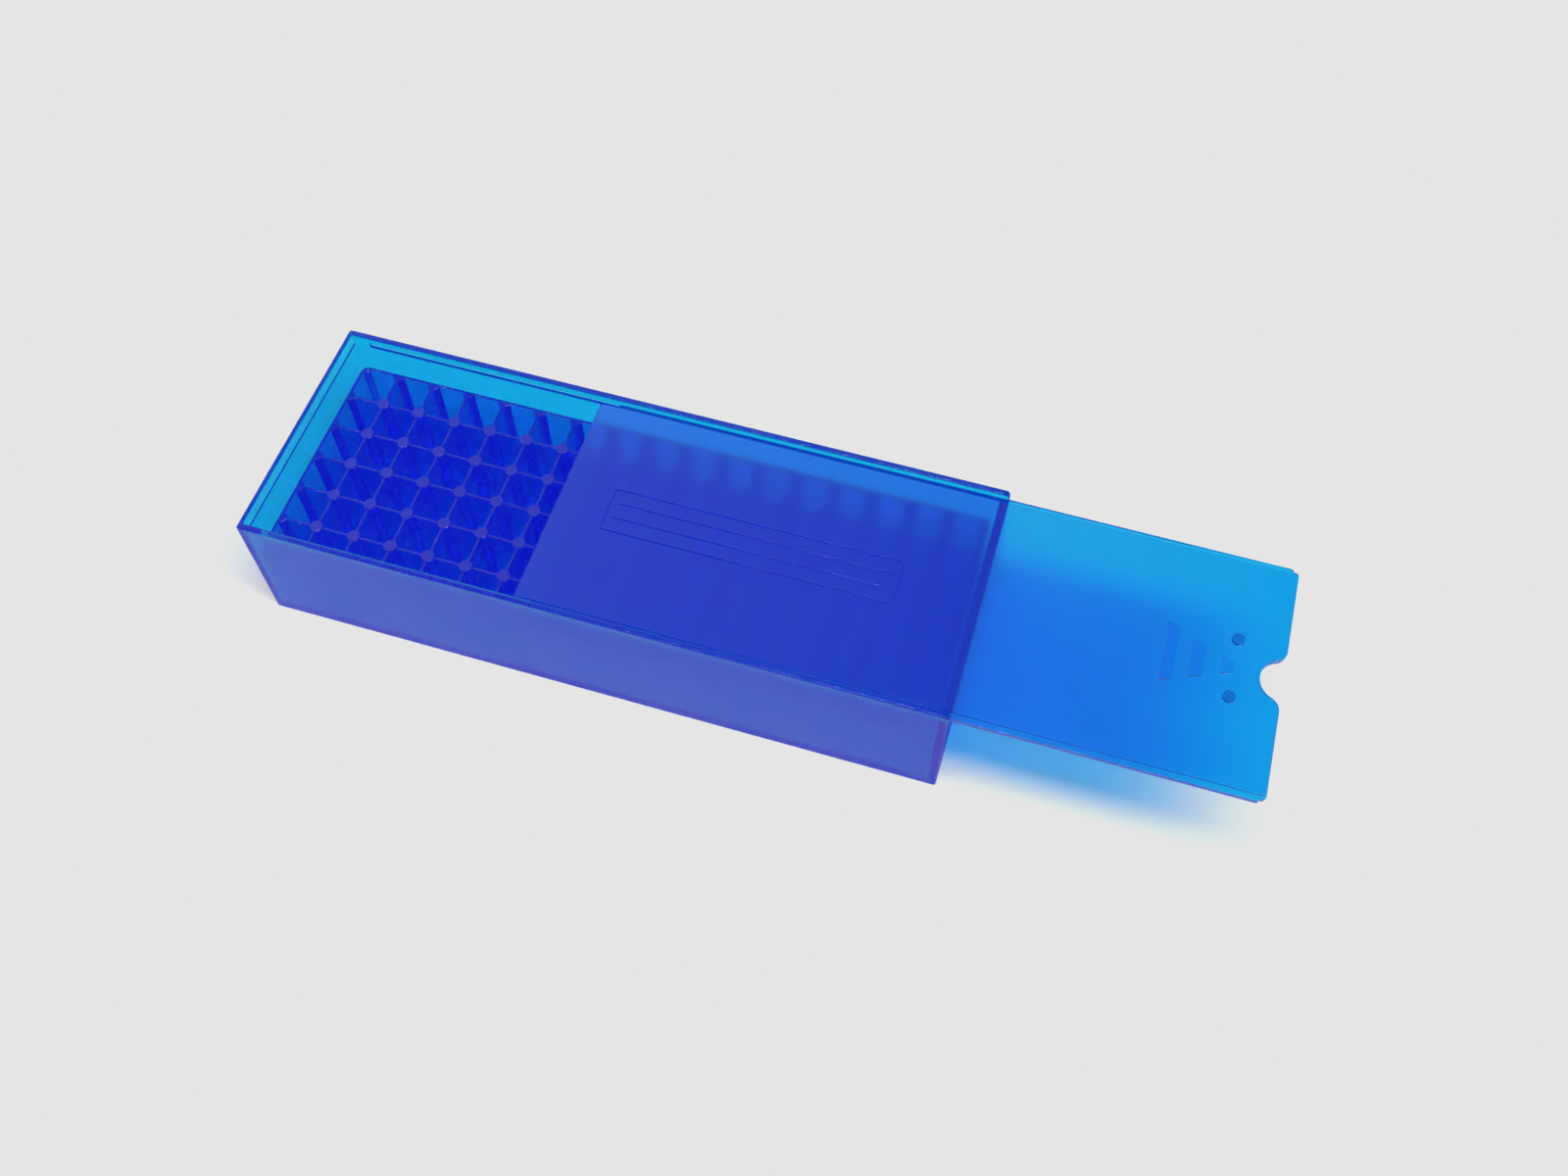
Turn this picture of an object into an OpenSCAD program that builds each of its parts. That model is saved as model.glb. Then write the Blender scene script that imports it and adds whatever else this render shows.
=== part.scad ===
// Long storage box with a square-celled insert and a lid that slides out over its lower end wall.
// Millimetres. The origin is the centre of the box body's underside, +Z is up, and the lid opens towards +X.

/* [Box body] */
// Outer length
body_l = 211; // [205:0.5:230]
// Outer width
body_w = 77.4; // [77.2:0.1:80]
// Outer height
body_h = 43.7; // [40:0.1:60]
// Thickness of the floor
floor_t = 2; // [1.5:0.1:3]
// Thickness of the long walls, lip and lower wall alike
side_t = 2.05; // [1.8:0.05:2.1]
// Thickness of the wall left behind each lid groove
groove_wall_t = 1.2; // [0.8:0.1:1.4]
// Thickness of the closed end wall above the ledge
end_t = 1.4; // [1:0.1:1.6]
// How far the closed end wall steps in below the ledge
end_step = 0.4; // [0.2:0.1:0.6]
// Thickness of the low end wall that the lid slides over
low_end_t = 2.6; // [2:0.1:3]
// Radius of the upright outer corners
corner_r = 0.9; // [0.5:0.1:1.2]

/* [Lid groove] */
// Depth of the ledge that carries the lid, below the rim
ledge_depth = 4.1; // [3.8:0.1:6]
// Height of the groove above the ledge
groove_h = 1.8; // [1.7:0.1:2.2]
// Distance of the groove's blind end from the closed end's outer face
groove_start = 6.9; // [6:0.1:7]
// Radius of the lip's free end, seen from the side
lip_end_r = 1.5; // [0.5:0.1:2]

/* [Sliding lid] */
// Length of the lid
lid_l = 211.6; // [205:0.1:212]
// How far the lid's closed-end edge stands from the closed end's outer face, as drawn
lid_open = 84.1; // [1.7:0.1:200]
// Thickness of the raised middle panel
panel_t = 2; // [1.8:0.1:2.2]
// Thickness of the flange and of its side tongues
flange_t = 1.5; // [1.2:0.1:1.5]
// Gap between a tongue's edge and the back of its groove
side_gap = 0.2; // [0.1:0.05:0.3]
// Gap between the lid's underside and the ledge
under_gap = 0.1; // [0.05:0.05:0.15]
// Gap between the flange and the lip's face, where the flange has no tongue
lip_gap = 0.25; // [0.1:0.05:0.4]
// Distance from the lip's face to the panel's edge
panel_inset = 1.15; // [0.8:0.05:1.5]
// Length without tongues at the closed end
nose_l = 5.7; // [5.5:0.1:7]
// Length without tongues at the open end
tail_l = 1.6; // [1.6:0.1:4]
// Radius of the lid's corners
lid_corner_r = 1.3; // [1:0.1:1.6]

/* [Thumb notch and marks on the lid] */
// Radius of the notch
notch_r = 6.4; // [5:0.1:8]
// Radius of the rounding on both sides of the notch's mouth
notch_fillet_r = 4; // [2:0.1:5]
// Height of the two dots
dot_h = 0.8; // [0.2:0.1:1]
// Diameter of the two dots
dot_d = 3.6; // [2:0.1:5]
// Distance of the dots from the lid's open end
dot_x = 13.9; // [12:0.1:16]
// Distance between the dots' centres
dot_spacing = 18.5; // [15:0.1:24]
// Height of the arrow bars
bar_h = 0.5; // [0.2:0.1:0.6]
// Number of arrow bars
bar_count = 3; // [1:1:4]
// Width of each arrow bar
bar_w = 3.4; // [2:0.1:4]
// Distance from one arrow bar to the next
bar_pitch = 8.0; // [6:0.1:9]
// Distance of the tip bar's outer edge from the lid's open end
bar_x = 14; // [13:0.1:17]
// Half length of the tip bar at its outer edge
bar_tip_half = 1.5; // [1:0.1:3]
// Growth of the bars' half length per millimetre away from the tip
bar_growth = 0.43; // [0.2:0.01:0.6]
// Length of the label frame
label_l = 88; // [60:1:100]
// Width of the label frame
label_w = 15; // [10:1:30]
// Distance of the label frame's centre from the lid's closed-end edge
label_x = 59; // [50:1:110]
// Width of the label's raised lines
label_line_w = 0.7; // [0.4:0.1:1.2]
// Height of the label's raised lines
label_h = 0.4; // [0.2:0.1:0.5]
// Number of writing lines inside the frame
label_rules = 2; // [1:1:4]
// Distance of the writing lines' ends from the frame's outer edge
label_rule_inset = 2.8; // [1.5:0.1:6]

/* [Cell insert] */
// Distance from one cell to the next
pitch = 12; // [12:0.01:12.02]
// Cells along the length
cols = 17; // [12:1:17]
// Thickness of the cell walls
wall_t = 0.8; // [0.6:0.1:1.1]
// Width across the flats of the twelve-sided columns at the wall crossings
column_w = 4.1; // [3.6:0.1:4.6]
// Height of the cell walls' top above the underside of the box
insert_top = 29.2; // [20:0.1:34]
// How far the columns stand above the walls
column_rise = 0.4; // [0:0.1:1]
// Distance of the first cell wall's centre from the closed end's outer face
grid_x = 2.6; // [2.5:0.1:2.7]
// How far the insert's rim reaches outside the outermost wall centres
rim_reach = 0.45; // [0.3:0.05:0.45]
// Radius of the insert's upright outer corners
insert_corner_r = 2.4; // [1:0.1:4]

/* [Hidden] */
$fn = 64;
eps = 1;

// Cells across the width. Each row of cross walls and each divider between two rows has nodes of its own in NODES.
rows = 6;
COLUMN_SIDES = 12;

left = -body_l / 2;
right = body_l / 2;
ledge_z = body_h - ledge_depth;
inner_half = body_w / 2 - side_t;
groove_half = body_w / 2 - groove_wall_t;
lip_z = ledge_z + groove_h;

lid_left = left + lid_open;
lid_right = lid_left + lid_l;
lid_z = ledge_z + under_gap;
flange_half = inner_half - lip_gap;
tongue_half = groove_half - side_gap;
panel_half = inner_half - panel_inset;

grid_left = left + grid_x;
grid_near = -rows * pitch / 2;
grid_right = grid_left + cols * pitch;
grid_far = -grid_near;
gap_l = pitch - column_w;
wall_h = insert_top - floor_t;

BODY_BLUE = [0.16, 0.38, 0.86];
LID_BLUE = [0.12, 0.52, 0.93];
INSERT_BLUE = [0.10, 0.16, 0.74];
COLUMN_BLUE = [0.24, 0.22, 0.74];

// A flat rectangle from one corner to the opposite one.
module span(x0, x1, y0, y1) {
    translate([x0, y0]) square([x1 - x0, y1 - y0]);
}

// A flat rectangle with round corners.
module round_span(x0, x1, y0, y1, r) {
    span(x0 + r, x1 - r, y0, y1);
    span(x0, x1, y0 + r, y1 - r);
    for (x = [x0 + r, x1 - r], y = [y0 + r, y1 - r]) translate([x, y]) circle(r);
}

// A block from one corner to the opposite one.
module block(x0, x1, y0, y1, z0, z1) {
    translate([x0, y0, z0]) cube([x1 - x0, y1 - y0, z1 - z0]);
}

// What is cut away so that a lip's free end is rounded at its upper corner, seen from the side.
module lip_end_cut() {
    translate([right - lip_end_r, body_w / 2 + eps, body_h - lip_end_r]) rotate([90, 0, 0])
        linear_extrude(body_w + 2 * eps) difference() {
            square(lip_end_r + eps);
            circle(lip_end_r);
        }
}

// The box: floor, two long walls with a groove under the lip, a full end wall and a low end wall.
module box_body() {
    low_x = right - low_end_t;
    color(BODY_BLUE) difference() {
        linear_extrude(body_h) round_span(left, right, -body_w / 2, body_w / 2, corner_r);
        block(left + end_t + end_step, low_x, -inner_half, inner_half, floor_t, body_h + eps);
        block(left + end_t, right + eps, -inner_half, inner_half, ledge_z, body_h + eps);
        block(left + groove_start, right + eps, -groove_half, groove_half, ledge_z, lip_z);
        lip_end_cut();
    }
}

// Outline of the thumb notch at the lid's open end, with its rounded mouth, and grown all round by a margin.
module notch_outline(margin = 0) {
    mouth = sqrt(pow(notch_r + notch_fillet_r, 2) - pow(notch_fillet_r, 2));
    fillet_r = notch_fillet_r - margin;
    circle(notch_r + margin);
    difference() {
        span(-notch_fillet_r, eps, -mouth, mouth);
        for (side = [-1, 1]) translate([-notch_fillet_r, side * mouth]) circle(fillet_r);
    }
}

// Outline of the lid's flange: the nose and the tail are narrow, and the tongues stand out between them.
module flange_outline() {
    round_span(lid_left, lid_right, -flange_half, flange_half, lid_corner_r);
    round_span(lid_left + nose_l, lid_right - tail_l, -tongue_half, tongue_half, lid_corner_r / 2);
}

// One bar of the arrow, slanted at both ends, with its outer edge at distance d from the open end.
module arrow_bar(d) {
    near_half = bar_tip_half + bar_growth * (d - bar_x);
    far_half = near_half + bar_growth * bar_w;
    polygon([[-d, -near_half], [-d, near_half], [-d - bar_w, far_half], [-d - bar_w, -far_half]]);
}

// The label: a plain frame with writing lines.
module label_outline() {
    w = label_line_w;
    difference() {
        round_span(-label_l / 2, label_l / 2, -label_w / 2, label_w / 2, lid_corner_r);
        round_span(w - label_l / 2, label_l / 2 - w, w - label_w / 2, label_w / 2 - w, lid_corner_r - w);
    }
    for (i = [1:label_rules]) {
        y = -label_w / 2 + i * label_w / (label_rules + 1);
        span(label_rule_inset - label_l / 2, label_l / 2 - label_rule_inset, y - w / 2, y + w / 2);
    }
}

// The lid, with its panel, flange, tongues, thumb notch, dots, arrow and label.
module sliding_lid() {
    color(LID_BLUE) {
        translate([0, 0, lid_z]) linear_extrude(flange_t) difference() {
            flange_outline();
            translate([lid_right, 0]) notch_outline();
        }
        translate([0, 0, lid_z]) linear_extrude(panel_t) difference() {
            round_span(lid_left + lip_gap, lid_right - lip_gap, -panel_half, panel_half, lid_corner_r);
            translate([lid_right, 0]) notch_outline(lip_gap);
        }
        translate([lid_left + label_x, 0, lid_z]) linear_extrude(panel_t + label_h) label_outline();
        translate([lid_right, 0, lid_z]) {
            linear_extrude(panel_t + bar_h) for (i = [0:bar_count - 1]) arrow_bar(bar_x + i * bar_pitch);
            for (side = [-1, 1]) translate([-dot_x, side * dot_spacing / 2])
                cylinder(h = panel_t + dot_h, d = dot_d);
        }
    }
}

// The insert is one moulding. It is drawn as straight walls and columns that meet face to face, so that every
// piece of it is convex and each cell stays open.

// Flat outline of one column: twelve sides, one flat towards each wall that meets it.
module column_outline() {
    half_turn = 180 / COLUMN_SIDES;
    rotate(half_turn) circle(r = column_w / 2 / cos(half_turn), $fn = COLUMN_SIDES);
}

// The columns along divider j, counted from the near side.
module insert_columns(j) {
    color(COLUMN_BLUE) for (i = [1:cols - 1])
        translate([grid_left + i * pitch, grid_near + j * pitch, floor_t])
            linear_extrude(wall_h + column_rise) column_outline();
}

// The walls along divider j, between its columns.
module insert_long_walls(j) {
    y = grid_near + j * pitch;
    color(INSERT_BLUE) for (i = [0:cols - 1]) {
        x = grid_left + i * pitch + column_w / 2;
        block(x, x + gap_l, y - wall_t / 2, y + wall_t / 2, floor_t, insert_top);
    }
}

// The walls across row j of the cells, between the dividers' columns.
module insert_cross_walls(j) {
    y = grid_near + (j - 1) * pitch + column_w / 2;
    color(INSERT_BLUE) for (i = [1:cols - 1]) {
        x = grid_left + i * pitch;
        block(x - wall_t / 2, x + wall_t / 2, y, y + gap_l, floor_t, insert_top);
    }
}

// One side of the rim, drawn along +X from the first wall centre and standing outside it, between the corners.
module rim_side(length) {
    color(INSERT_BLUE) block(column_w / 2, length - column_w / 2, -rim_reach, wall_t / 2, floor_t, insert_top);
}

module insert_rim_near() {
    translate([grid_left, grid_near, 0]) rim_side(cols * pitch);
}

module insert_rim_far() {
    translate([grid_left, grid_far, 0]) mirror([0, 1, 0]) rim_side(cols * pitch);
}

module insert_rim_closed_end() {
    translate([grid_left, grid_far, 0]) rotate(-90) rim_side(rows * pitch);
}

module insert_rim_low_end() {
    translate([grid_right, grid_near, 0]) rotate(90) rim_side(rows * pitch);
}

// The part of a column that stands on the inner face of a rim side.
module rim_column() {
    linear_extrude(wall_h) intersection() {
        column_outline();
        span(-column_w, column_w, wall_t / 2, column_w);
    }
}

// A corner of the rim: a column cut to the insert's round outer corner.
module rim_corner() {
    linear_extrude(wall_h) intersection() {
        column_outline();
        round_span(-rim_reach, pitch, -rim_reach, pitch, insert_corner_r);
    }
}

// All columns of the rim, with its corners.
module insert_rim_columns() {
    color(COLUMN_BLUE) translate([0, 0, floor_t]) {
        for (i = [1:cols - 1]) {
            translate([grid_left + i * pitch, grid_near, 0]) rim_column();
            translate([grid_left + i * pitch, grid_far, 0]) rotate(180) rim_column();
        }
        for (j = [1:rows - 1]) {
            translate([grid_left, grid_near + j * pitch, 0]) rotate(-90) rim_column();
            translate([grid_right, grid_near + j * pitch, 0]) rotate(90) rim_column();
        }
        translate([grid_left, grid_near, 0]) rim_corner();
        translate([grid_right, grid_near, 0]) rotate(90) rim_corner();
        translate([grid_right, grid_far, 0]) rotate(180) rim_corner();
        translate([grid_left, grid_far, 0]) rotate(-90) rim_corner();
    }
}

box_body();
sliding_lid();
insert_rim_near();
insert_rim_far();
insert_rim_closed_end();
insert_rim_low_end();
insert_rim_columns();
insert_columns(1);  // insert_columns_1
insert_columns(2);  // insert_columns_2
insert_columns(3);  // insert_columns_3
insert_columns(4);  // insert_columns_4
insert_columns(5);  // insert_columns_5
insert_long_walls(1);  // insert_long_walls_1
insert_long_walls(2);  // insert_long_walls_2
insert_long_walls(3);  // insert_long_walls_3
insert_long_walls(4);  // insert_long_walls_4
insert_long_walls(5);  // insert_long_walls_5
insert_cross_walls(1);  // insert_cross_walls_1
insert_cross_walls(2);  // insert_cross_walls_2
insert_cross_walls(3);  // insert_cross_walls_3
insert_cross_walls(4);  // insert_cross_walls_4
insert_cross_walls(5);  // insert_cross_walls_5
insert_cross_walls(6);  // insert_cross_walls_6
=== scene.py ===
"""A long slide-lid storage box in translucent blue plastic: body, square-celled insert and sliding lid.

Lengths are metres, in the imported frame. Places come from the frame's nodes. The constants below are the
moulded details that the nodes' boxes don't give, then the camera, the light and the plastic.
"""

import itertools
import math

import bmesh
import bpy
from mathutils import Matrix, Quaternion, Vector


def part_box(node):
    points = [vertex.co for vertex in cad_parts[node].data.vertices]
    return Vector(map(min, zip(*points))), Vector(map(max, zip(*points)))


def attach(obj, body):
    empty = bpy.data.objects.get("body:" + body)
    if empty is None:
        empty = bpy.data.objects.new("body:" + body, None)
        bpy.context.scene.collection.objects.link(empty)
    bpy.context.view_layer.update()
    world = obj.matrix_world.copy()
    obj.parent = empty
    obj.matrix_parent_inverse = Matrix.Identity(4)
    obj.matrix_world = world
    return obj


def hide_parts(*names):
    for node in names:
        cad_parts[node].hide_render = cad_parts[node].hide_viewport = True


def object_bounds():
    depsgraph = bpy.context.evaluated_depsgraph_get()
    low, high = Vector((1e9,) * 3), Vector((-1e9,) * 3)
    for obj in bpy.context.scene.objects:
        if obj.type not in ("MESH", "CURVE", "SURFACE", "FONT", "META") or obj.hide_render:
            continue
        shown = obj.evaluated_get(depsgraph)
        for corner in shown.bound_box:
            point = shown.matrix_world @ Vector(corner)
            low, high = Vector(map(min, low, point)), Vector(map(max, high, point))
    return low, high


MM = 0.001
# Places closer together than this are the same
TOUCH = 0.001 * MM

# Box body. GROOVE_START is where the lid's groove begins, from the closed end
FLOOR_T = 2.0 * MM
SIDE_T = 2.05 * MM
GROOVE_WALL_T = 1.2 * MM
END_T = 1.4 * MM
END_STEP = 0.4 * MM
LOW_END_T = 2.6 * MM
LEDGE_DEPTH = 4.1 * MM
GROOVE_H = 1.8 * MM
GROOVE_START = 6.9 * MM
CORNER_R = 0.9 * MM
LIP_END_R = 1.5 * MM
RIM_EDGE_R = 0.6 * MM
BODY_EDGE_R = 0.15 * MM
BODY_EDGE_SEGMENTS = 5

# Sliding lid. The dots and bars are placed from the open end, and the label from the closed end
PANEL_T = 2.0 * MM
FLANGE_T = 1.5 * MM
LIP_GAP = 0.25 * MM
PANEL_INSET = 1.15 * MM
NOSE_L = 5.7 * MM
TAIL_L = 1.6 * MM
LID_CORNER_R = 1.3 * MM
LID_EDGE_R = 0.12 * MM
NOTCH_R = 6.4 * MM
NOTCH_FILLET_R = 4.0 * MM
DOT_H = 0.8 * MM
DOT_R = 1.8 * MM
DOT_X = 13.9 * MM
DOT_SPACING = 18.5 * MM
BAR_H = 0.5 * MM
BAR_W = 3.4 * MM
BAR_PITCH = 8.0 * MM
BAR_COUNT = 3
BAR_X = 14.0 * MM
BAR_TIP_HALF = 1.5 * MM
BAR_GROWTH = 0.43
LABEL_L = 88.0 * MM
LABEL_W = 15.0 * MM
LABEL_X = 59.0 * MM
LABEL_LINE_W = 0.7 * MM
LABEL_H = 0.4 * MM
LABEL_RULES = 2
LABEL_RULE_INSET = 2.8 * MM
MARK_EDGE_R = 0.18 * MM

# Cell insert. FLOOR_GAP keeps its underside clear of the box's floor
COLUMNS_ALONG = 17
ROWS_ACROSS = 6
FLOOR_GAP = 0.05 * MM
INSERT_EDGE_R = 0.22 * MM
INSERT_EDGE_SEGMENTS = 3

# Steps of the rounded outlines and edges
CORNER_STEPS = 8
FILLET_STEPS = 10
NOTCH_STEPS = 28
TONGUE_STEPS = 6
DOT_STEPS = 40
EDGE_STEPS = 4
COLUMN_QUARTER_STEPS = 6
COLUMN_END_STEPS = 2

# Limits that tell faces, edges and roundings apart. The last three are for a normal's part along an axis
EDGE_ANGLE = math.radians(30)
SMOOTH_ANGLE = math.radians(50)
LEVEL_ANGLE = math.radians(1)
MITRE_LIMIT = 0.3
FLAT = 0.99999
FACING = 0.5
UPRIGHT = 0.1

# Camera. It looks at a point that is off the part's centre, to the right and towards the near side
LENS = 35.09
SENSOR = 36.0
AZIMUTH = math.radians(16.18)
ELEVATION = math.radians(59.0)
ROLL = math.radians(0.59)
DISTANCE = 0.4318
LOOK_RIGHT = 8.6 * MM
LOOK_NEAR = 11.2 * MM
CLIP_START = 0.01
CLIP_END = 50

# Light. The dim area and the panel fade between an outer and an inner angle, in degrees
SURROUND = 0.24
DIM_TOWARDS = (0.3, 0.5, 0.8)
DIM_ANGLES = (50, 9)
DIM_LEVEL = 0.02
PANEL_TOWARDS = (-0.75, 0.45, 0.6)
PANEL_ANGLES = (55, 15)
PANEL_LEVEL = 0.8
# The lamp's place and half size on a ceiling one unit up, and the share of them that its edge fades over
LAMP_CENTRE = (0.42, -0.16)
LAMP_HALF_SIZE = (0.68, 0.15)
LAMP_SOFTNESS = 0.2
LAMP_LEVEL = 15.0
# Directions closer to the horizon than this count as this high up
HORIZON = 0.001

# Tone curves, as brightness in and out. BLUE_TONES then lifts the blue in the darker tones
TONES = ((0, 0.002), (0.5, 0.53), (0.75, 0.784), (1.6, 0.784), (6.0, 1.0))
BLUE_TONES = ((0, 0), (0.1, 0.30), (0.2, 0.42), (0.4, 0.48), (0.6, 0.54), (0.784, 0.784), (1, 1))
COMBINED_CURVE = 3
BLUE_CURVE = 2

# Light paths. Light crosses many thin walls before it leaves the insert
CLEAR_BOUNCES = 100
GLOSSY_BOUNCES = 60
DIFFUSE_BOUNCES = 16

# Floor
STAGE_HALF = 4.0
STAGE_DROP = 0.2 * MM
STAGE_GREY = 0.8

# Plastic. The scales are the number of noise cells in a metre
WEAR_SCALE = 90
WEAR_DETAIL = 4
WEAR_RANGE = (0.35, 0.7)
RIPPLE_SCALE = 26
RIPPLE_DETAIL = 1.5
RIPPLE_ROUGHNESS = 0.4
# Painted shade: the share of the plastic's colour that the sides of the raised marks keep. It is a darker
# colour standing in for the dark edge lines that the light gives them. The upper part of the dots is
# darkened by the same share.
MARK_SHADE = 0.6

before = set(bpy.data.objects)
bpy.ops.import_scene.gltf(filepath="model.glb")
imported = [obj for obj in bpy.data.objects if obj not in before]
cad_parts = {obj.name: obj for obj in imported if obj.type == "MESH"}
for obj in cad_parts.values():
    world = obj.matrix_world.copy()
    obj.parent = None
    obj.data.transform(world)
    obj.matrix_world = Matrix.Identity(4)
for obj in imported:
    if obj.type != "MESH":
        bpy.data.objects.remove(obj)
cad_low, cad_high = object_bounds()


# ---------------------------------------------------------------- outlines

def arc(centre, radius, start, end, steps):
    """Points along an arc from one angle in degrees to another, both ends included."""
    turns = [math.radians(start + (end - start) * i / steps) for i in range(steps + 1)]
    return [(centre[0] + radius * math.cos(a), centre[1] + radius * math.sin(a)) for a in turns]


def round_rectangle(x0, x1, y0, y1, r):
    """Anticlockwise rectangle with round corners."""
    return (
        arc((x1 - r, y0 + r), r, -90, 0, CORNER_STEPS)
        + arc((x1 - r, y1 - r), r, 0, 90, CORNER_STEPS)
        + arc((x0 + r, y1 - r), r, 90, 180, CORNER_STEPS)
        + arc((x0 + r, y0 + r), r, 180, 270, CORNER_STEPS)
    )


def inset(outline, distance):
    """An anticlockwise outline moved inwards, each corner along its own bisector."""
    moved = []
    count = len(outline)
    for i, point in enumerate(outline):
        before, here, after = (Vector(outline[k % count]) for k in (i - 1, i, i + 1))
        a, b = (here - before).normalized(), (after - here).normalized()
        normal_a, normal_b = Vector((-a.y, a.x)), Vector((-b.y, b.x))
        bisector = (normal_a + normal_b).normalized()
        reach = distance / max(bisector.dot(normal_a), MITRE_LIMIT)
        moved.append(tuple(here + bisector * reach))
    return moved


# ---------------------------------------------------------------- solids

class Solid:
    """A closed mesh put together from rings of corners, skins between rings and flat caps."""

    def __init__(self):
        self.bm = bmesh.new()

    def ring(self, outline, z):
        return [self.bm.verts.new((x, y, z)) for x, y in outline]

    def skin(self, lower, upper):
        """The wall between two rings of equal length, facing outwards for anticlockwise rings."""
        for i in range(len(lower)):
            k = (i + 1) % len(lower)
            self.bm.faces.new((lower[i], lower[k], upper[k], upper[i]))

    def wall(self, outline, low, high, low_r, high_r, sign=1):
        """An upright wall over an outline, rounded at its upper edge and, unless low_r is 0, at its lower.
        sign is -1 where the outline is a hole. Returns the lowest and the highest ring."""
        angles = [math.pi / 2 * i / EDGE_STEPS for i in range(EDGE_STEPS + 1)]
        if low_r:
            profile = [(low_r * (1 - math.sin(a)), low + low_r * (1 - math.cos(a))) for a in angles]
        else:
            profile = [(0.0, low)]
        profile += [(high_r * (1 - math.cos(a)), high - high_r * (1 - math.sin(a))) for a in angles]
        rings = [self.ring(inset(outline, sign * distance), z) for distance, z in profile]
        for lower, upper in zip(rings, rings[1:]):
            if sign > 0:
                self.skin(lower, upper)
            else:
                self.skin(upper, lower)
        return rings[0], rings[-1]

    def cap(self, rings, up):
        """The flat face between an outer ring and the rings of its holes."""
        edges = []
        for ring in rings:
            for i, vert in enumerate(ring):
                other = ring[(i + 1) % len(ring)]
                edges.append(self.bm.edges.get((vert, other)) or self.bm.edges.new((vert, other)))
        normal = Vector((0, 0, 1 if up else -1))
        made = bmesh.ops.triangle_fill(self.bm, edges=edges, normal=normal, use_beauty=True)
        for face in made["geom"]:
            if isinstance(face, bmesh.types.BMFace) and face.normal.dot(normal) < 0:
                face.normal_flip()

    def finish(self, name):
        bmesh.ops.recalc_face_normals(self.bm, faces=self.bm.faces[:])
        return mesh_object(name, self.bm)


def mesh_object(name, bm):
    mesh = bpy.data.meshes.new(name)
    bm.to_mesh(mesh)
    bm.free()
    piece = bpy.data.objects.new(name, mesh)
    bpy.context.scene.collection.objects.link(piece)
    return piece


def mark_faces(piece, name, chosen):
    """Stores 1 on the chosen faces and 0 on the rest, under that name."""
    values = [float(chosen(face.center, face.normal)) for face in piece.data.polygons]
    piece.data.attributes.new(name, "FLOAT", "FACE").data.foreach_set("value", values)


def set_normals(piece):
    """Flat faces keep their own normal up to their edges, and the roundings between them blend from one flat
    face to the next. Faces that meet at more than SMOOTH_ANGLE stay sharp."""
    mesh = piece.data
    nearest = math.cos(SMOOTH_ANGLE)
    own = [face.normal.copy() for face in mesh.polygons]
    flat = [max(abs(part) for part in normal) > FLAT for normal in own]
    around = [[] for _ in mesh.vertices]
    for face in mesh.polygons:
        for vert in face.vertices:
            around[vert].append(face.index)
    normals = []
    for face in mesh.polygons:
        here = own[face.index]
        for vert in face.vertices:
            near = [own[k] for k in around[vert] if own[k].dot(here) > nearest]
            level = [own[k] for k in around[vert] if flat[k] and own[k].dot(here) > nearest]
            if flat[face.index]:
                normals.append(here)
            elif level:
                normals.append(max(level, key=here.dot))
            else:
                normals.append(sum(near, Vector()).normalized())
    mesh.polygons.foreach_set("use_smooth", [True] * len(mesh.polygons))
    mesh.normals_split_custom_set(normals)


def round_weighted_edges(piece, radius, segments):
    """Rounds each edge by its bevel weight times radius, and applies it to the mesh."""
    bevel = piece.modifiers.new("round_edges", "BEVEL")
    bevel.width = radius
    bevel.segments = segments
    bevel.limit_method = "WEIGHT"
    bevel.use_clamp_overlap = False
    bevel.loop_slide = False
    bpy.context.view_layer.update()
    evaluated = piece.evaluated_get(bpy.context.evaluated_depsgraph_get())
    mesh = bpy.data.meshes.new_from_object(evaluated)
    piece.modifiers.clear()
    piece.data = mesh


# ---------------------------------------------------------------- box body

def block_solid(xs, ys, zs, filled):
    """The blocks between the given planes whose centre is filled, as one closed bmesh with large faces."""
    bm = bmesh.new()
    planes = (xs, ys, zs)
    corners = {}

    def corner(at):
        if at not in corners:
            corners[at] = bm.verts.new([planes[axis][at[axis]] for axis in range(3)])
        return corners[at]

    def is_filled(at):
        if any(not 0 <= at[axis] < len(planes[axis]) - 1 for axis in range(3)):
            return False
        return filled(*((planes[axis][at[axis]] + planes[axis][at[axis] + 1]) / 2 for axis in range(3)))

    for at in itertools.product(*(range(len(p) - 1) for p in planes)):
        if not is_filled(at):
            continue
        for axis, side in itertools.product(range(3), (0, 1)):
            beyond = list(at)
            beyond[axis] += 2 * side - 1
            if is_filled(tuple(beyond)):
                continue
            u, v = (axis + 1) % 3, (axis + 2) % 3
            quad = []
            for du, dv in ((0, 0), (1, 0), (1, 1), (0, 1)):
                place = list(at)
                place[axis] += side
                place[u] += du
                place[v] += dv
                quad.append(corner(tuple(place)))
            bm.faces.new(quad if side else quad[::-1])
    bmesh.ops.dissolve_limit(bm, angle_limit=LEVEL_ANGLE, verts=bm.verts[:], edges=bm.edges[:])
    return bm


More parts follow.
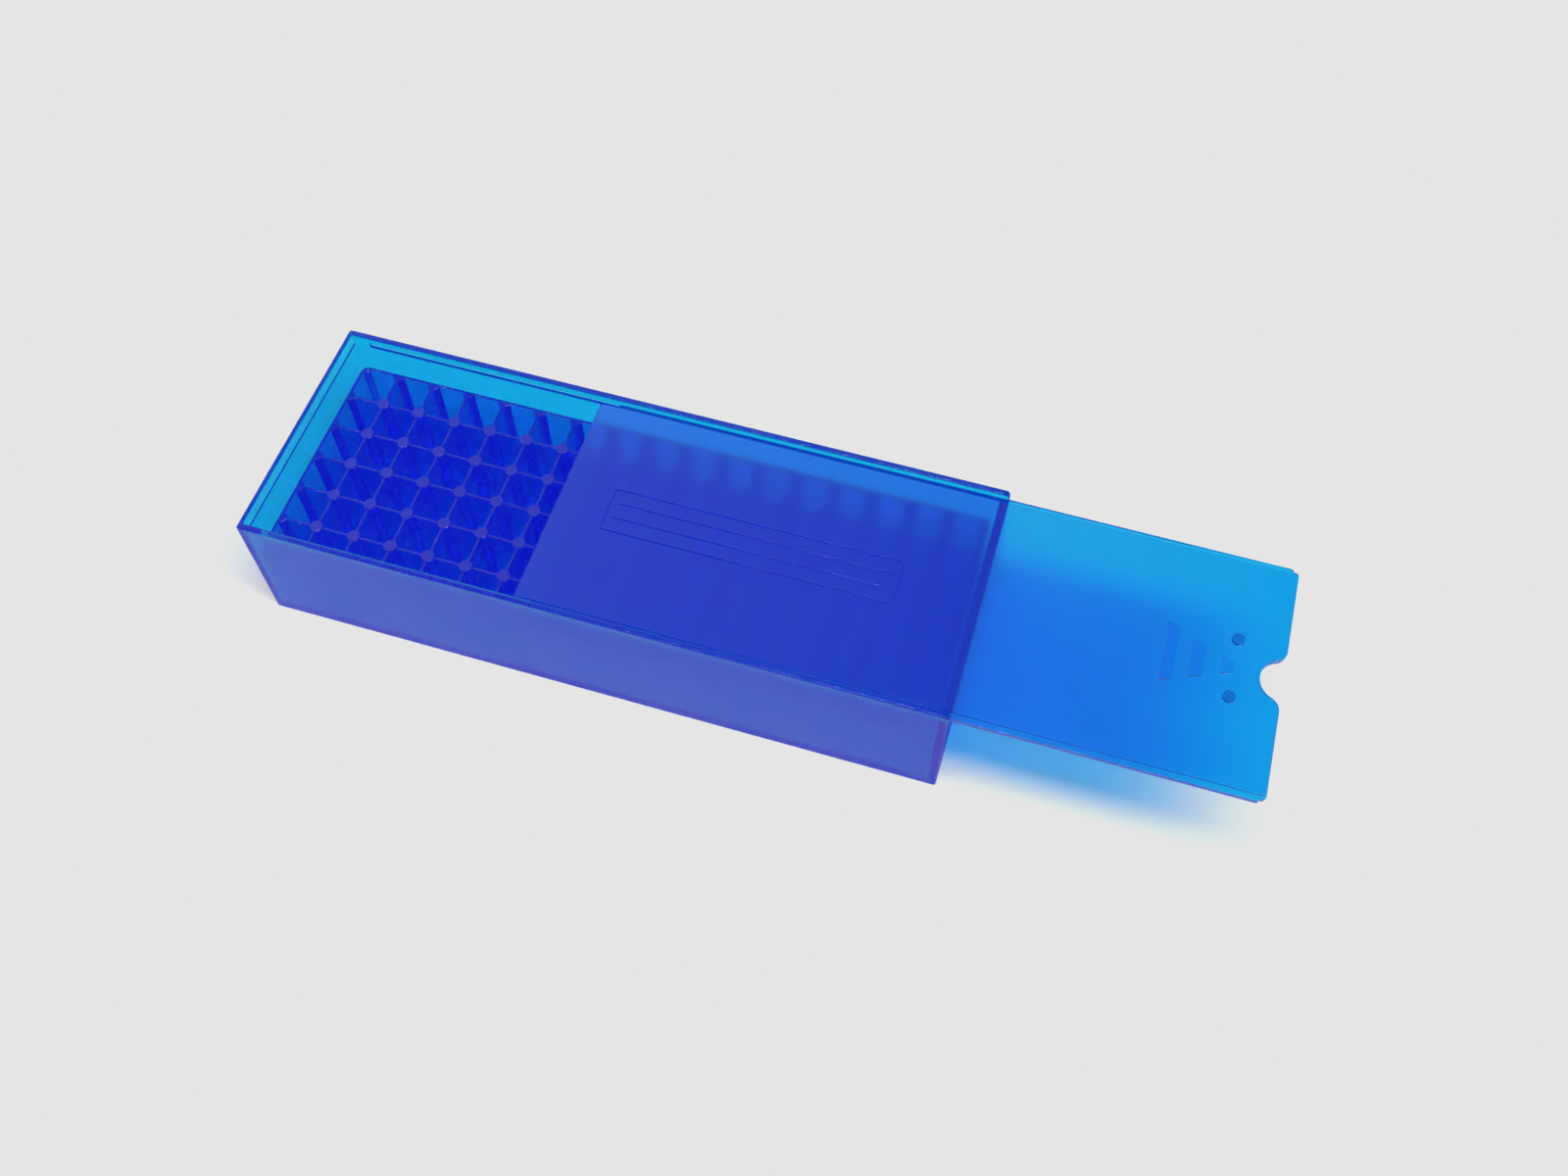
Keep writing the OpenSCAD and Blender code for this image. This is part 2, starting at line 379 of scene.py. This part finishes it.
def make_body():
    """Floor, two long walls with a lid groove under the lip, a full-height closed end and a low end wall."""
    low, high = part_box("box_body")
    inner_half = high.y - SIDE_T
    groove_half = high.y - GROOVE_WALL_T
    ledge_z = high.z - LEDGE_DEPTH
    lip_z = ledge_z + GROOVE_H
    groove_x = low.x + GROOVE_START
    low_wall_x = high.x - LOW_END_T
    step_x = low.x + END_T + END_STEP
    xs = (low.x, low.x + END_T, step_x, groove_x, low_wall_x, high.x)
    ys = (low.y, -groove_half, -inner_half, inner_half, groove_half, high.y)
    zs = (low.z, FLOOR_T, ledge_z, lip_z, high.z)

    def filled(x, y, z):
        if z < FLOOR_T or abs(y) > groove_half or x < low.x + END_T:
            return True
        if abs(y) > inner_half:
            return not (ledge_z < z < lip_z and x > groove_x)
        return z < ledge_z and (x < step_x or x > low_wall_x)

    bm = block_solid(xs, ys, zs, filled)
    weight = bm.edges.layers.float.new("bevel_weight_edge")
    for edge in bm.edges:
        if edge.calc_face_angle(0) < EDGE_ANGLE:
            continue
        a, b = (v.co for v in edge.verts)
        at_end = abs(abs(a.x) - high.x) < TOUCH and abs(abs(b.x) - high.x) < TOUCH
        upright = abs(a.x - b.x) < TOUCH and abs(a.y - b.y) < TOUCH
        on_top = min(a.z, b.z) > high.z - TOUCH
        outside = min(abs(a.y), abs(b.y)) > high.y - TOUCH
        if at_end and upright and outside:
            radius = CORNER_R
        elif on_top and min(a.x, b.x) > high.x - TOUCH:
            radius = LIP_END_R
        elif on_top:
            radius = RIM_EDGE_R
        else:
            radius = BODY_EDGE_R
        edge[weight] = radius / LIP_END_R
    piece = mesh_object("body_shell", bm)
    round_weighted_edges(piece, LIP_END_R, BODY_EDGE_SEGMENTS)

    def is_outside(centre, normal):
        side = abs(centre.y) > high.y - RIM_EDGE_R and abs(normal.y) > FACING
        closed_end = centre.x < low.x + RIM_EDGE_R and normal.x < -FACING
        open_end = centre.x > high.x - RIM_EDGE_R and normal.x > FACING
        under = centre.z < low.z + RIM_EDGE_R and normal.z < -FACING
        return side or closed_end or open_end or under

    mark_faces(piece, "outside", is_outside)
    set_normals(piece)
    return piece


# ---------------------------------------------------------------- cell insert

def make_insert():
    """The grid of cells in one piece: thin walls, a round column at every crossing and a rim all round."""
    first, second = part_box("insert_columns_1"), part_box("insert_columns_2")
    wall_low, wall_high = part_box("insert_long_walls_1")
    rim_low, rim_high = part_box("insert_rim_columns")
    pitch = second[0].y - first[0].y
    r = (first[1].y - first[0].y) / 2
    wall_half = (wall_high.y - wall_low.y) / 2
    xs = [first[0].x + r + (i - 1) * pitch for i in range(COLUMNS_ALONG + 1)]
    ys = [first[0].y + r + (j - 1) * pitch for j in range(ROWS_ACROSS + 1)]
    bottom, top, column_top = rim_low.z + FLOOR_GAP, wall_high.z, first[1].z
    half_angle = math.degrees(math.asin(wall_half / r))
    reach = r * math.cos(math.radians(half_angle))
    bm = bmesh.new()

    def face(points):
        bm.faces.new([bm.verts.new(p) for p in points])

    def flat(outline, high_z=top):
        """The same outline as a face on top and, turned over, as a face underneath."""
        face([(x, y, high_z) for x, y in outline])
        face([(x, y, bottom) for x, y in reversed(outline)])

    def upright(path, z0, z1):
        """A strip of wall along a path, facing to its right."""
        for (x0, y0), (x1, y1) in zip(path, path[1:]):
            face([(x0, y0, z0), (x1, y1, z0), (x1, y1, z1), (x0, y0, z1)])

    def quarter(x, y, turn):
        """The column's side between two walls, from the wall at turn to the next one, anticlockwise."""
        return arc((x, y), r, turn + half_angle, turn + 90 - half_angle, COLUMN_QUARTER_STEPS)

    def end(x, y, turn):
        """The column's side where a wall meets it."""
        return arc((x, y), r, turn - half_angle, turn + half_angle, COLUMN_END_STEPS)

    def crossing(i, j):
        """A column where walls cross, or the stretch of rim around one at the insert's sides and corners."""
        x, y = xs[i], ys[j]
        at_x = (i == 0) - (i == COLUMNS_ALONG)
        at_y = (j == 0) - (j == ROWS_ACROSS)
        if not at_x and not at_y:
            circle = []
            for turn in (0, 90, 180, 270):
                circle += end(x, y, turn)[:-1] + quarter(x, y, turn)[:-1]
            flat(circle, column_top)
            upright(circle + circle[:1], top, column_top)
        elif at_x and at_y:
            corner_x = rim_low.x if at_x > 0 else rim_high.x
            corner_y = rim_low.y if at_y > 0 else rim_high.y
            turn = {(1, 1): 0, (-1, 1): 90, (-1, -1): 180, (1, -1): 270}[at_x, at_y]
            corner_r = abs(x - corner_x) + reach
            centre = (corner_x + at_x * corner_r, corner_y + at_y * corner_r)
            rounding = arc(centre, corner_r, turn + 180, turn + 270, COLUMN_QUARTER_STEPS)
            flat(quarter(x, y, turn) + rounding)
            upright(rounding, bottom, top)
        else:
            turn = {(0, 1): 0, (-1, 0): 90, (0, -1): 180, (1, 0): 270}[at_x, at_y]
            inner = quarter(x, y, turn) + end(x, y, turn + 90)[1:-1] + quarter(x, y, turn + 90)
            if at_y:
                edge_y = rim_low.y if at_y > 0 else rim_high.y
                outer = [(x - at_y * reach, edge_y), (x + at_y * reach, edge_y)]
            else:
                edge_x = rim_low.x if at_x > 0 else rim_high.x
                outer = [(edge_x, y + at_x * reach), (edge_x, y - at_x * reach)]
            flat(inner + outer)
            upright(outer, bottom, top)

    def wall(i, j, along_x):
        """The wall's top and underside between two neighbouring crossings."""
        x, y = xs[i], ys[j]
        if along_x:
            edge = {0: rim_low.y, ROWS_ACROSS: rim_high.y}.get(j)
            x0, x1 = x + reach, xs[i + 1] - reach
            if edge is None:
                flat(end(x, y, 0)[::-1] + end(xs[i + 1], y, 180)[::-1])
            else:
                inner = y + wall_half if j == 0 else y - wall_half
                low_y, high_y = min(edge, inner), max(edge, inner)
                flat([(x0, low_y), (x1, low_y), (x1, high_y), (x0, high_y)])
                outer = [(x0, edge), (x1, edge)]
                upright(outer if j == 0 else outer[::-1], bottom, top)
        else:
            edge = {0: rim_low.x, COLUMNS_ALONG: rim_high.x}.get(i)
            y0, y1 = y + reach, ys[j + 1] - reach
            if edge is None:
                flat(end(x, y, 90)[::-1] + end(x, ys[j + 1], 270)[::-1])
            else:
                inner = x + wall_half if i == 0 else x - wall_half
                low_x, high_x = min(edge, inner), max(edge, inner)
                flat([(low_x, y0), (high_x, y0), (high_x, y1), (low_x, y1)])
                outer = [(edge, y1), (edge, y0)]
                upright(outer if i == 0 else outer[::-1], bottom, top)

    def cell(i, j):
        """The four inner faces of one cell and the column sides in its corners."""
        x0, x1, y0, y1 = xs[i], xs[i + 1], ys[j], ys[j + 1]
        around = (
            quarter(x0, y0, 0)[::-1] + quarter(x1, y0, 90)[::-1]
            + quarter(x1, y1, 180)[::-1] + quarter(x0, y1, 270)[::-1]
        )
        upright((around + around[:1])[::-1], bottom, top)

    for i, j in itertools.product(range(COLUMNS_ALONG + 1), range(ROWS_ACROSS + 1)):
        crossing(i, j)
        if i < COLUMNS_ALONG:
            wall(i, j, True)
        if j < ROWS_ACROSS:
            wall(i, j, False)
        if i < COLUMNS_ALONG and j < ROWS_ACROSS:
            cell(i, j)
    bmesh.ops.remove_doubles(bm, verts=bm.verts[:], dist=TOUCH)
    bmesh.ops.recalc_face_normals(bm, faces=bm.faces[:])
    weight = bm.edges.layers.float.new("bevel_weight_edge")
    for edge in bm.edges:
        near_top = min(v.co.z for v in edge.verts) > top - TOUCH
        if near_top and len(edge.link_faces) == 2 and edge.is_convex and edge.calc_face_angle() > EDGE_ANGLE:
            edge[weight] = 1.0
    piece = mesh_object("cell_grid", bm)
    round_weighted_edges(piece, INSERT_EDGE_R, INSERT_EDGE_SEGMENTS)
    mark_faces(piece, "upright", lambda centre, normal: abs(normal.z) < UPRIGHT)
    set_normals(piece)
    return piece


# ---------------------------------------------------------------- sliding lid

def notched_side(x, low_y, high_y, r, margin):
    """The lid's open end, from its near corner to its far one, with the thumb notch between them. margin is
    how far the outline stays inside the flange's own."""
    mouth = math.sqrt((NOTCH_R + NOTCH_FILLET_R) ** 2 - NOTCH_FILLET_R ** 2)
    lean = math.degrees(math.atan2(mouth, NOTCH_FILLET_R))
    end_x = x + margin
    near, far = (end_x - NOTCH_FILLET_R, -mouth), (end_x - NOTCH_FILLET_R, mouth)
    fillet_r = NOTCH_FILLET_R - margin
    return (
        arc((x - r, low_y + r), r, -90, 0, CORNER_STEPS)
        + arc(near, fillet_r, 0, lean, FILLET_STEPS)
        + arc((end_x, 0), NOTCH_R + margin, 180 + lean, 180 - lean, NOTCH_STEPS)[1:-1]
        + arc(far, fillet_r, -lean, 0, FILLET_STEPS)
        + arc((x - r, high_y - r), r, 0, 90, CORNER_STEPS)
    )


def flange_outline(low, high):
    """Nose and tail stay inside the lips, and the tongues stand out between them."""
    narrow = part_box("box_body")[1].y - SIDE_T - LIP_GAP
    step = high.y - narrow
    r = LID_CORNER_R
    nose_x, tail_x = low.x + NOSE_L, high.x - TAIL_L
    return (
        arc((low.x + r, r - narrow), r, 180, 270, CORNER_STEPS)
        + arc((nose_x + step, step - high.y), step, 180, 270, TONGUE_STEPS)
        + arc((tail_x - step, step - high.y), step, 270, 360, TONGUE_STEPS)
        + notched_side(high.x, -narrow, narrow, r, 0)
        + arc((tail_x - step, high.y - step), step, 0, 90, TONGUE_STEPS)
        + arc((nose_x + step, high.y - step), step, 90, 180, TONGUE_STEPS)
        + arc((low.x + r, narrow - r), r, 90, 180, CORNER_STEPS)
    )


def panel_outline(low, high):
    """The raised panel, a little inside the flange all round."""
    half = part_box("box_body")[1].y - SIDE_T - PANEL_INSET
    r = LID_CORNER_R
    left = low.x + LIP_GAP
    return (
        arc((left + r, r - half), r, 180, 270, CORNER_STEPS)
        + notched_side(high.x - LIP_GAP, -half, half, r, LIP_GAP)
        + arc((left + r, half - r), r, 90, 180, CORNER_STEPS)
    )


def bar_outline(x, number):
    """One bar of the arrow, slanted at both ends. x is the lid's open end."""
    outer_x = x - BAR_X - number * BAR_PITCH
    outer_half = BAR_TIP_HALF + BAR_GROWTH * number * BAR_PITCH
    inner_half = outer_half + BAR_GROWTH * BAR_W
    inner_x = outer_x - BAR_W
    return [(inner_x, -inner_half), (outer_x, -outer_half), (outer_x, outer_half), (inner_x, inner_half)]


def make_lid():
    """One moulding: flange and tongues, raised panel with thumb notch, two dots, arrow bars and label."""
    low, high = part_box("sliding_lid")
    flange_top = low.z + FLANGE_T
    panel_top = low.z + PANEL_T
    solid = Solid()

    flange = flange_outline(low, high)
    flange_low, flange_high = solid.wall(flange, low.z, flange_top, LID_EDGE_R, LID_EDGE_R)
    solid.cap([flange_low], False)
    panel = panel_outline(low, high)
    panel_low, panel_high = solid.wall(panel, flange_top, panel_top, 0, LID_EDGE_R)
    solid.cap([flange_high, panel_low], True)

    def mark(outline, height):
        """A raised mark with that outline. Returns the ring where it stands on the panel."""
        base, crest = solid.wall(outline, panel_top, panel_top + height, 0, MARK_EDGE_R)
        solid.cap([crest], True)
        return base

    marks = [mark(bar_outline(high.x, number), BAR_H) for number in range(BAR_COUNT)]
    for side in (-1, 1):
        centre = (high.x - DOT_X, side * DOT_SPACING / 2)
        marks.append(mark(arc(centre, DOT_R, 0, 360, DOT_STEPS)[:-1], DOT_H))

    x, w = low.x + LABEL_X, LABEL_LINE_W
    half_l, half_w = LABEL_L / 2, LABEL_W / 2
    outer = round_rectangle(x - half_l, x + half_l, -half_w, half_w, LID_CORNER_R)
    inner = round_rectangle(x - half_l + w, x + half_l - w, w - half_w, half_w - w, LID_CORNER_R - w)
    frame_base, frame_crest = solid.wall(outer, panel_top, panel_top + LABEL_H, 0, MARK_EDGE_R)
    field_edge, field_crest = solid.wall(inner, panel_top, panel_top + LABEL_H, 0, MARK_EDGE_R, sign=-1)
    solid.cap([frame_crest, field_crest], True)
    rules = []
    for number in range(LABEL_RULES):
        y = (number + 1) * LABEL_W / (LABEL_RULES + 1) - half_w
        reach = half_l - LABEL_RULE_INSET
        x0, x1, y0, y1 = x - reach, x + reach, y - w / 2, y + w / 2
        rules.append(mark([(x0, y0), (x1, y0), (x1, y1), (x0, y1)], LABEL_H))
    solid.cap([field_edge, *rules], True)
    solid.cap([panel_high, frame_base, *marks], True)
    piece = solid.finish("lid_panel")

    def is_shaded(centre, normal):
        """True on the upper part of the dots and on the sides of all raised marks. On the sides the darker
        colour is painted shade for their dark edge lines, and the dots' upper part is darkened the same way.
        """
        side = centre.z > panel_top + LID_EDGE_R and normal.z < 1 - UPRIGHT
        return side or centre.z > panel_top + BAR_H + LID_EDGE_R

    mark_faces(piece, "underside", lambda centre, normal: normal.z < -FACING)
    mark_faces(piece, "shaded", is_shaded)
    set_normals(piece)
    return piece


# ---------------------------------------------------------------- materials

def new_material(name):
    material = bpy.data.materials.new(name)
    material.use_nodes = True
    nodes, links = material.node_tree.nodes, material.node_tree.links
    nodes.clear()
    return material, nodes, links


def noise(nodes, links, scale, detail, roughness=0.5):
    """Noise in the object's own space, so that it stays on the plastic as the piece moves."""
    place = nodes.new("ShaderNodeTexCoord")
    texture = nodes.new("ShaderNodeTexNoise")
    texture.inputs["Scale"].default_value = scale
    texture.inputs["Detail"].default_value = detail
    texture.inputs["Roughness"].default_value = roughness
    links.new(place.outputs["Object"], texture.inputs["Vector"])
    return texture.outputs["Fac"]


def map_range(nodes, links, value, low, high, to_low, to_high):
    node = nodes.new("ShaderNodeMapRange")
    links.new(value, node.inputs["Value"])
    for name, number in zip(("From Min", "From Max", "To Min", "To Max"), (low, high, to_low, to_high)):
        node.inputs[name].default_value = number
    return node.outputs["Result"]


def bump(nodes, links, height, distance):
    node = nodes.new("ShaderNodeBump")
    node.inputs["Strength"].default_value = 1
    node.inputs["Distance"].default_value = distance
    links.new(height, node.inputs["Height"])
    return node.outputs["Normal"]


def face_value(nodes, name):
    """The value that mark_faces stored under that name. It is 0 on a piece without such marks."""
    node = nodes.new("ShaderNodeAttribute")
    node.attribute_name = name
    return node.outputs["Fac"]


def blue_plastic(name, colour, clear, absorbed, gloss, satin, mask, ripple, ior):
    """Blue moulded plastic. colour tints what it scatters and lets through, and clear is the share that
    isn't scattered. absorbed is how strongly it absorbs red, green and blue light, per metre. gloss and
    satin are ranges of roughness, and the faces marked with the mask are the satin ones. ripple is the
    depth of the moulding ripples."""
    material, nodes, links = new_material(name)
    shader = nodes.new("ShaderNodeBsdfPrincipled")
    output = nodes.new("ShaderNodeOutputMaterial")
    volume = nodes.new("ShaderNodeVolumeAbsorption")
    density = max(absorbed)
    volume.inputs["Density"].default_value = density
    volume.inputs["Color"].default_value = (*[1 - a / density for a in absorbed], 1)
    # Painted shade: on faces stored as shaded, the colour is darkened to MARK_SHADE of itself. This gives
    # the dark edge lines of the raised marks, and the dots' upper part is darkened too.
    tint = nodes.new("ShaderNodeMix")
    tint.data_type = "RGBA"
    tint.inputs["A"].default_value = (*colour, 1)
    tint.inputs["B"].default_value = (*[c * MARK_SHADE for c in colour], 1)
    links.new(face_value(nodes, "shaded"), tint.inputs["Factor"])
    links.new(tint.outputs["Result"], shader.inputs["Base Color"])
    shader.inputs["Transmission Weight"].default_value = clear
    shader.inputs["IOR"].default_value = ior
    wear = noise(nodes, links, WEAR_SCALE, WEAR_DETAIL)
    finish = nodes.new("ShaderNodeMix")
    links.new(face_value(nodes, mask), finish.inputs["Factor"])
    links.new(map_range(nodes, links, wear, *WEAR_RANGE, *gloss), finish.inputs["A"])
    links.new(map_range(nodes, links, wear, *WEAR_RANGE, *satin), finish.inputs["B"])
    links.new(finish.outputs["Result"], shader.inputs["Roughness"])
    ripples = noise(nodes, links, RIPPLE_SCALE, RIPPLE_DETAIL, RIPPLE_ROUGHNESS)
    links.new(bump(nodes, links, ripples, ripple), shader.inputs["Normal"])
    links.new(shader.outputs["BSDF"], output.inputs["Surface"])
    links.new(volume.outputs["Volume"], output.inputs["Volume"])
    return material


def floor_material():
    material, nodes, links = new_material("pale_floor")
    shader = nodes.new("ShaderNodeBsdfDiffuse")
    output = nodes.new("ShaderNodeOutputMaterial")
    shader.inputs["Color"].default_value = (STAGE_GREY, STAGE_GREY, STAGE_GREY, 1)
    links.new(shader.outputs["BSDF"], output.inputs["Surface"])
    return material


# ---------------------------------------------------------------- stage

def make_floor():
    bm = bmesh.new()
    bmesh.ops.create_grid(bm, x_segments=1, y_segments=1, size=STAGE_HALF)
    floor = mesh_object("floor", bm)
    floor.location.z = -STAGE_DROP
    floor.data.materials.append(floor_material())


def make_world():
    """A soft studio: an even surround that is dim high up on the far side, a paler panel beyond the closed
    end and a long lamp across the ceiling."""
    world = bpy.data.worlds.new("studio")
    bpy.context.scene.world = world
    world.use_nodes = True
    nodes, links = world.node_tree.nodes, world.node_tree.links
    nodes.clear()
    output = nodes.new("ShaderNodeOutputWorld")
    background = nodes.new("ShaderNodeBackground")
    direction = nodes.new("ShaderNodeTexCoord").outputs["Generated"]

    def calculate(kind, operation, *values):
        """A node of that kind for the operation. Each value is a constant or another node's output."""
        node = nodes.new(kind)
        node.operation = operation
        for socket, value in zip(node.inputs, values):
            if isinstance(value, bpy.types.NodeSocket):
                links.new(value, socket)
            else:
                socket.default_value = value
        return node

    def area(towards, angles, outside, inside):
        """Brightness by the angle from a direction: outside past the outer one, inside within the inner."""
        aim = calculate("ShaderNodeVectorMath", "DOT_PRODUCT", direction, Vector(towards).normalized())
        outer, inner = (math.cos(math.radians(angle)) for angle in angles)
        return map_range(nodes, links, aim.outputs["Value"], outer, inner, outside, inside)

    def lamp():
        """A long soft-edged lamp. Each direction is followed up to its place on the ceiling."""
        split = nodes.new("ShaderNodeSeparateXYZ")
        links.new(direction, split.inputs["Vector"])
        height = calculate("ShaderNodeMath", "MAXIMUM", split.outputs["Z"], HORIZON).outputs["Value"]
        ceiling = calculate("ShaderNodeVectorMath", "DIVIDE", direction, height).outputs["Vector"]
        offset = calculate("ShaderNodeVectorMath", "SUBTRACT", ceiling, (*LAMP_CENTRE, 1)).outputs["Vector"]
        share = calculate("ShaderNodeVectorMath", "DIVIDE", offset, (*LAMP_HALF_SIZE, 1)).outputs["Vector"]
        reach = calculate("ShaderNodeVectorMath", "LENGTH", share).outputs["Value"]
        level = map_range(nodes, links, reach, 1 + LAMP_SOFTNESS, 1 - LAMP_SOFTNESS, 0, LAMP_LEVEL)
        level.node.interpolation_type = "SMOOTHERSTEP"
        return level

    surround = area(DIM_TOWARDS, DIM_ANGLES, SURROUND, DIM_LEVEL)
    panel = area(PANEL_TOWARDS, PANEL_ANGLES, 0, PANEL_LEVEL)
    broad = calculate("ShaderNodeMath", "ADD", surround, panel).outputs["Value"]
    total = calculate("ShaderNodeMath", "ADD", broad, lamp()).outputs["Value"]
    links.new(total, background.inputs["Strength"])
    links.new(background.outputs["Background"], output.inputs["Surface"])


def make_tones():
    """A camera's tone curves. The lit floor and what is a little paler come out as the same pale grey, and
    the blue part of the darker tones is lifted."""
    view = bpy.context.scene.view_settings
    view.view_transform = "Standard"
    view.use_curve_mapping = True
    mapping = view.curve_mapping
    mapping.use_clip = False
    mapping.clip_max_x = TONES[-1][0]
    for channel, places in ((COMBINED_CURVE, TONES), (BLUE_CURVE, BLUE_TONES)):
        curve = mapping.curves[channel]
        while len(curve.points) < len(places):
            curve.points.new(0.5, 0.5)
        for point, place in zip(curve.points, places):
            point.location = place
            point.handle_type = "VECTOR"
    mapping.update()


def make_camera():
    data = bpy.data.cameras.new("camera")
    data.lens = LENS
    data.sensor_width = SENSOR
    data.clip_start = CLIP_START
    data.clip_end = CLIP_END
    camera = bpy.data.objects.new("camera", data)
    bpy.context.scene.collection.objects.link(camera)
    centre = (cad_low + cad_high) / 2
    lid_panel_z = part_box("sliding_lid")[0].z + PANEL_T
    target = Vector((centre.x + LOOK_RIGHT, centre.y - LOOK_NEAR, lid_panel_z))
    back = Vector((
        math.sin(AZIMUTH) * math.cos(ELEVATION),
        -math.cos(AZIMUTH) * math.cos(ELEVATION),
        math.sin(ELEVATION),
    ))
    camera.location = target + back * DISTANCE
    camera.rotation_mode = "QUATERNION"
    camera.rotation_quaternion = Quaternion(back, ROLL) @ (-back).to_track_quat("-Z", "Y")
    bpy.context.scene.camera = camera


def make_light_paths():
    cycles = bpy.context.scene.cycles
    cycles.max_bounces = CLEAR_BOUNCES
    cycles.transmission_bounces = CLEAR_BOUNCES
    cycles.glossy_bounces = GLOSSY_BOUNCES
    cycles.diffuse_bounces = DIFFUSE_BOUNCES
    cycles.blur_glossy = 0
    cycles.caustics_refractive = True
    cycles.caustics_reflective = True


make_camera()
make_world()
make_floor()
make_light_paths()
make_tones()

box_plastic = blue_plastic(
    "box_plastic", colour=(1, 1, 1), clear=1, absorbed=(1900, 225, 16),
    gloss=(0.03, 0.08), satin=(0.40, 0.46), mask="outside", ripple=0.02 * MM, ior=1.42,
)
insert_plastic = blue_plastic(
    "insert_plastic", colour=(0.3, 0.8, 1), clear=0.98, absorbed=(1500, 620, 14),
    gloss=(0.06, 0.12), satin=(0.22, 0.34), mask="upright", ripple=0.01 * MM, ior=1.5,
)
lid_plastic = blue_plastic(
    "lid_plastic", colour=(0.1, 0.95, 1), clear=0.98, absorbed=(1500, 390, 4),
    gloss=(0.02, 0.06), satin=(0.30, 0.36), mask="underside", ripple=0.12 * MM, ior=1.5,
)

body_shell = make_body()
body_shell.data.materials.clear()
body_shell.data.materials.append(box_plastic)
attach(body_shell, "root")
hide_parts("box_body")

cell_grid = make_insert()
cell_grid.data.materials.clear()
cell_grid.data.materials.append(insert_plastic)
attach(cell_grid, "root")
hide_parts(*[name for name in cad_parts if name.startswith("insert_")])

lid_panel = make_lid()
lid_panel.data.materials.clear()
lid_panel.data.materials.append(lid_plastic)
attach(lid_panel, "lid")
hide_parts("sliding_lid")
